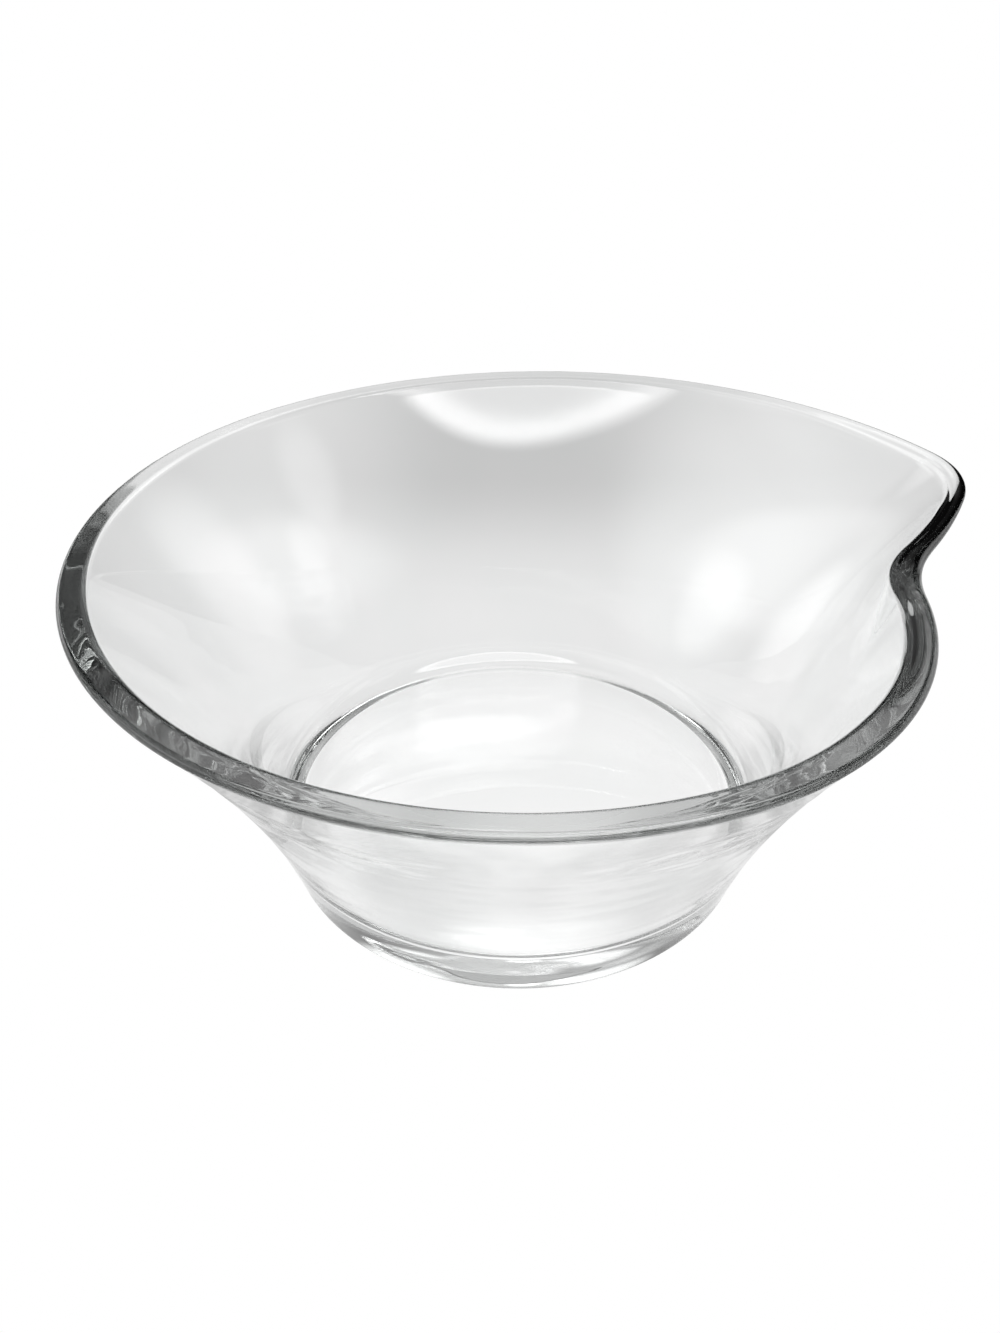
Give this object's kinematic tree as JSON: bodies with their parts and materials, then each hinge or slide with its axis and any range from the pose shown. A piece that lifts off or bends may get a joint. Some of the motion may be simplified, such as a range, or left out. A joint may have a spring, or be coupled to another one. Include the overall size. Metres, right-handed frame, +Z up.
{
  "type": "glass salad bowl",
  "caption": "Clear glass salad bowl with a thick round base, a flaring wall and a flat-topped, rounded rim that curls in to a notch and sweeps out to a lip.",
  "frame": {"origin": "centre of the round foot, on the table plane", "axes": "+Z up along the axis of the base, +X towards the step between the notch and the lip, +Y to the back of the lip's sweep"},
  "size_m": [0.2487, 0.2401, 0.1],
  "materials": {
    "glass": "clear, polished, with a fire-polished rim"
  },
  "bodies": {
    "root": {"bowl": "glass"}
  },
  "joints": []
}
